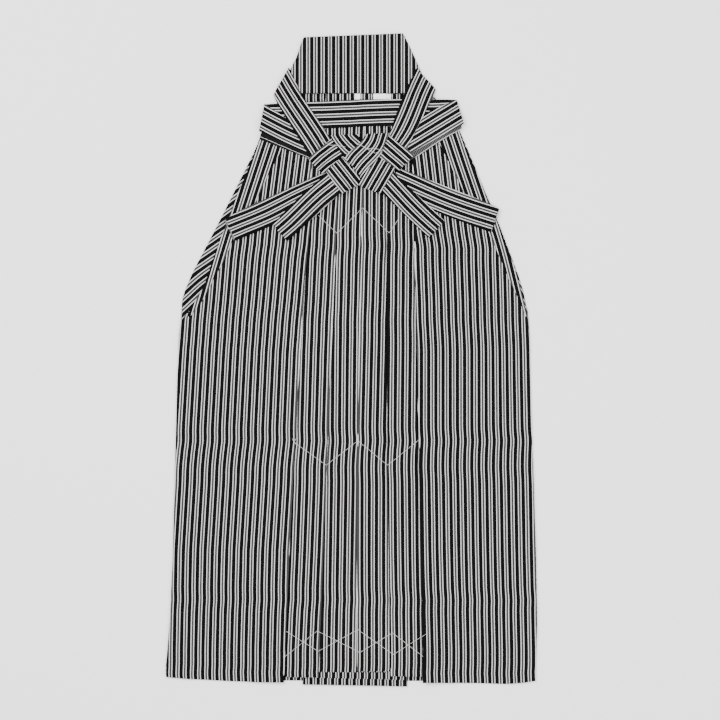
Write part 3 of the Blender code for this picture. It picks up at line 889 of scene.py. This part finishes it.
def crownHeight(plan, crown):
    # A tie is a little higher along its middle than at its edges.
    share = np.linspace(-1, 1, plan.shape[0])[:, None]
    return crown * (1 - share ** 2) * np.ones(plan.shape[:2])


def buildLabels():
    made = []
    for band, node in zip(labels, ("label_small", "label_wide")):
        plan = ruledPlan(band, spacing["label"])
        wall = pile.lay(plan, cloth["label"])
        made.append(clothPiece(band.name, node, wall, plan, cloth["label"], labelCloth,
                               bevel=rounding["label"]))
    return made


def buildFrontPanel():
    wall, threads = panelWall(frontPanel, frontRuns, frontLine, frontThreads, frontCreases,
                              pileSettings["seatGap"])
    piece = clothPiece("hakama_front", "front_panel", wall, threads)


leaf = {"foot": 312.0, "rows": 45, "columns": 9, "flat": (60, 340)}


def buildLeaf(side):
    # A long pleat from its inner edge on the front to the front's own edge.
    down = np.linspace(0, leaf["foot"], leaf["rows"])[:, None]
    share = np.linspace(0, 1, leaf["columns"])[None, :]
    inner, outer = edgeAt(leafEdges, side, down), edgeAt(frontEdges, side, down)
    across = inner * (1 - share) + outer * share
    plan = pair(across, np.broadcast_to(down, across.shape))
    away = signedDistance(plan, smoothLine(blackLines["side_leaf_" + side][0]))
    threads = pair(away, np.broadcast_to(down, across.shape))
    wall = pile.lay(plan, cloth["skirt"], settling["leaf"])
    piece = clothPiece("side_leaf_" + side, "side_pleat_" + side, wall, threads)


underfold = {"left": -77.0, "right": 88.0, "top": 840.0, "leftLift": 8.6, "rightLift": 5.0,
             "stripe": -52.8, "rows": 10, "columns": 29, "flat": (166, 72)}


def buildUnderfold():
    # The foot of the front's hidden inner pleat, which shows below the hem.
    share = np.linspace(0, 1, underfold["columns"])[None, :]
    fall = np.linspace(0, 1, underfold["rows"])[:, None]
    across = (underfold["left"] * (1 - share) + underfold["right"] * share) * np.ones_like(fall)
    lift = underfold["leftLift"] * (1 - share) + underfold["rightLift"] * share
    hem = np.interp(across, hemLine["across"], hemLine["down"]) - lift
    plan = pair(across, underfold["top"] * (1 - fall) + hem * fall)
    threads = pair(across - underfold["stripe"], plan[..., 1])
    wall = pile.lay(plan, cloth["skirt"])
    piece = clothPiece("front_underfold", None, wall, threads)


buildBackPanel()
buildUnderfold()
buildBoard()
buildFrontPanel()
buildLeaf("left")
buildLeaf("right")
print("skirt")


# The waistband and the ties.

waistband = Band(
    "front_waistband",
    [(-143, -36), (-70, -39), (15.5, -43.5), (83, -43.5), (173, -43.5)],
    [(-151, 8), (-54, 4.4), (-29.5, 3.5), (9.8, 1.1), (37.7, 0.2), (68, 0.2), (182, -2)], 0.3)
frontTies = [  # the two lower ones are the strips that show below the others
    Band("front_tie_lower_left", [(-146, 5), (-72, 32)], [(-151, 21.5), (-62, 56)], 0),
    Band("front_tie_lower_right", [(180.5, -8.5), (98, 36)],
         [(180.5, 4.5), (146, 24.8), (121.4, 41.5), (96, 56)], 0),
    Band("front_tie_upper_left", [(-142, -36.5), (-106, -12), (-66, 13)], [(-151.5, 8), (-60, 49)], 0.4),
    Band("front_tie_upper_right", [(172.5, -43.5), (121.5, -21.5), (86, 3)],
         [(184.5, -4.5), (146, 16.4), (121.4, 30.8), (88, 50.3)], 0.4),
]
backTies = [
    Band("back_tie_band_left", [(-128, -51.5), (-121.5, -37.5), (-75, 39.5), (-66, 55)],
         [(-102.5, -96.5), (-80.5, -47.5), (-46, 1.5), (-30, 29)], 0.5),
    Band("back_tie_band_right", [(138, -61), (134.5, -50), (92, 34.5), (86, 47)],
         [(106.5, -95), (97, -75.4), (90.4, -62.3), (82, -42), (75, -24), (69.5, -9), (64, 9.5), (60, 26)],
         0.5),
]
tieNodes = ["front_tie_left_under", "front_tie_right_under", "front_tie_left", "front_tie_right",
            "back_tie_left", "back_tie_right"]
knotFilling = {"across": 14.0, "down": 62.0, "halfWidth": 48.0, "halfLength": 30.0, "thickness": 2.4,
               "points": 17}
endCrown = 0.35
tieEnds = [
    ("free_end_left_outer",
     Band("free_end_left_outer lower", [(-40, 84), (-207, 156)],
          [(-28, 112), (-128, 162), (-192, 188.5)], endCrown),
     Band("free_end_left_outer upper",
          [(-206.5, 152), (-178, 136), (-116.4, 108.3), (-86.9, 94.5), (-38, 74)],
          [(-191.5, 184), (-128, 159), (-26, 108)], endCrown)),
    ("free_end_right_outer",
     Band("free_end_right_outer lower", [(78, 77), (239, 138)],
          [(64, 107), (153, 146.5), (228.5, 174)], endCrown),
     Band("free_end_right_outer upper",
          [(242, 134.5), (211.6, 121.2), (162.4, 102.4), (129.6, 89.4), (76, 68)],
          [(229, 171), (153.5, 144), (64, 103)], endCrown)),
    ("free_end_left_inner",
     Band("free_end_left_inner", [(-34, 75), (-75.6, 109.5), (-106.5, 139.5), (-126, 161)],
          [(-14, 106), (-103, 187)], endCrown),
     Band("free_end_left_inner", [(-127, 161), (-107.2, 137.8), (-75.8, 107.7), (-34, 72.5)],
          [(-103.5, 186.5), (-14, 105)], endCrown)),
    ("free_end_right_inner",
     Band("free_end_right_inner", [(66, 75), (151, 154)], [(47, 106), (124.5, 182)], endCrown),
     Band("free_end_right_inner", [(151, 154), (66, 74)], [(124.5, 181.5), (47, 105)], endCrown)),
]
knotBands = [
    Band("knot_top_left", [(-36.5, 15), (-26, 36), (-8, 58)], [(10, 13.5), (18, 26), (22, 44)], 0.4),
    Band("knot_lower_right", [(12.5, 98), (15, 84), (48, 45)], [(47.5, 111.5), (72, 70), (80, 56)], 0.6),
    Band("knot_upper_right", [(45, 50), (77.5, 73.5)], [(61, 15.5), (103.5, 47.5)], 0.6),
    Band("knot_centre", [(-12, 50), (13.5, 29), (25, 13)], [(15.5, 82.5), (47, 50), (62.5, 11.5)], 0.7),
    Band("knot_upper_left", [(-71.5, 54), (-32.5, 21)], [(-47.5, 79), (-14, 49)], 0.6),
    Band("knot_lower_left", [(-16, 51), (14.5, 86), (12, 96)], [(-41.5, 75), (-15.5, 111)], 0.6),
]


def buildTie(band, node, thickness, material=stripedTie, name=None):
    plan = ruledPlan(band, spacing["tie"])
    wall = pile.lay(plan, thickness, settling["tie"], crownHeight(plan, band.crown))
    piece = clothPiece(name or band.name, node, wall, bandThreads(band.name, plan), thickness,
                       material, bevel=thickness * rounding["tieShare"])


def buildKnotFilling():
    steps = np.linspace(-1, 1, knotFilling["points"])
    u, v = np.meshgrid(steps, steps)
    across = knotFilling["across"] + knotFilling["halfWidth"] * u * np.sqrt(1 - v * v / 2)
    down = knotFilling["down"] + knotFilling["halfLength"] * v * np.sqrt(1 - u * u / 2)
    plan = pair(across, down)
    wall = pile.lay(plan, knotFilling["thickness"], settling["knot"])
    clothPiece("knot_filling", "knot_core", wall, plan, knotFilling["thickness"], stripedTie,
               bevel=rounding["knot"])


def buildTieEnd(name, node, lower, upper):
    plans = [ruledPlan(band, spacing["tie"]) for band in (lower, upper)]
    rows = max(plan.shape[0] for plan in plans)
    plans = [resampledRows(plan, rows) for plan in plans]
    threads = [bandThreads(band.name, plan) for band, plan in zip((lower, upper), plans)]
    wall, threads = foldedWall(plans, [0, 1], cloth["tie"], threads, settling["tie"],
                               lambda plan: crownHeight(plan, upper.crown), pileSettings["seatGap"])
    piece = clothPiece(name, node, wall, threads, cloth["tie"], stripedTie,
                       bevel=cloth["tie"] * rounding["tieShare"])


def resampledRows(plan, rows):
    # The same plan with another number of rows, so that two runs can be joined.
    old = np.linspace(0, 1, plan.shape[0])
    new = np.linspace(0, 1, rows)
    columns = [np.stack([np.interp(new, old, plan[:, j, axis]) for axis in (0, 1)], axis=-1)
               for j in range(plan.shape[1])]
    return np.stack(columns, axis=1)


buildTie(waistband, "waistband", cloth["band"])
for band, node, selvedge in zip(frontTies, tieNodes, (darkSelvedge, greySelvedge)):
    buildTie(band, node, cloth["tie"], selvedge)
for band, node in zip(frontTies[2:] + backTies, tieNodes[2:]):
    buildTie(band, node, cloth["tie"])
buildKnotFilling()
for name, lower, upper in tieEnds:
    buildTieEnd(name, name.replace("free", "tie"), lower, upper)
for band in knotBands:
    buildTie(band, band.name, cloth["tie"], name=band.name + "_band")
print("ties and knot")


# Basting threads, laid by hand from stitch to stitch over the pressed pleats.

basting = {"thickness": 0.4, "step": 2.5, "lift": 0.15}
bastingRuns = [
    [(-53.8, 146.5), (-23.9, 175.8), (18.2, 133.7), (61.8, 175.2), (76.8, 152.7)],
    [(-93, 518.6), (-41.2, 555.5), (10.8, 515.3), (59.2, 555.5), (112, 512.8)],
    [(-106.4, 827.9), (-54.1, 860.3), (10.8, 824.8), (68.4, 865.6), (123.8, 831)],
    [(-108.4, 868.7), (-56.1, 826.9), (13.9, 862.3), (67.2, 830), (117.4, 868.7)],
    [(-52.3, 21.2), (-42.8, 26.6), (-36.1, 31.3), (-25.1, 32), (-10.2, 33.9)],
    [(10.2, 29.2), (17.1, 32.6), (25.1, 37.4), (34.6, 36.7), (46.9, 38.9)],
    [(25.1, 37.4), (32, 40.8), (39.4, 44.9), (52.3, 38.9)],
    [(-97, 512), (-91, 521)],
    [(-90, 511.5), (-95.5, 520.5)],
]


def threadCurve(name, thickness, material):
    curve = bpy.data.curves.new(name, "CURVE")
    curve.dimensions = "3D"
    curve.bevel_depth = thickness / 2 * mm
    curve.bevel_resolution = 2
    curve.use_fill_caps = True
    curve.materials.append(material)
    return curve


def sewThrough(curve, stops):
    spline = curve.splines.new("POLY")
    spline.points.add(len(stops) - 1)
    for point, stop in zip(spline.points, stops):
        point.co = (*place(*stop), 1.0)


def buildBasting():
    for number, stops in enumerate(bastingRuns):
        parts = []
        for i in range(len(stops) - 1):
            steps = max(2, round(lineLength(stops[i:i + 2]) / basting["step"]))
            parts.append(alongLine(stops[i:i + 2], steps))
        path = np.concatenate([part[:-1] for part in parts] + [parts[-1][-1:]])
        raised = []
        for spot, (x, y) in zip(path, pile.cellOf(path)):
            i, j = int(round(x)), int(round(y))
            under = pile.top[i - 1:i + 2, j - 1:j + 2].max()
            raised.append((*spot, under + basting["thickness"] / 2 + basting["lift"]))
        curve = threadCurve("basting", basting["thickness"], bastingCotton)
        sewThrough(curve, raised)
        addPiece(bpy.data.objects.new("basting_%d" % (number + 1), curve))


# Stitches almost as long as their pitch, so the dark thread reads as one continuous line of painted shade
# as well as a seam.
seam = {"thread": 0.9, "stitch": 4.9, "pitch": 5.1, "left": -108.0, "right": 126.0, "down": -53.7,
        "shares": (0, 0.15, 0.85, 1), "dips": (1, 0, 0, 1)}


def buildBoardSeam():
    # Running stitches that close the board's cover along its lower edge. They are near black and almost
    # touch, so they are partly the real seam and partly a painted shade line along the board's lower edge.
    curve = threadCurve("board seam", seam["thread"], darkThreadAndSeamShade)
    height = cloth["board"] + seam["thread"] / 2
    for start in np.arange(seam["left"], seam["right"], seam["pitch"]):
        sewThrough(curve, [(start + share * seam["stitch"], seam["down"], height - dip * seam["thread"])
                           for share, dip in zip(seam["shares"], seam["dips"])])
    addPiece(bpy.data.objects.new("board_seam_stitches", curve))


buildBasting()
buildBoardSeam()
print("basting threads and stitches")
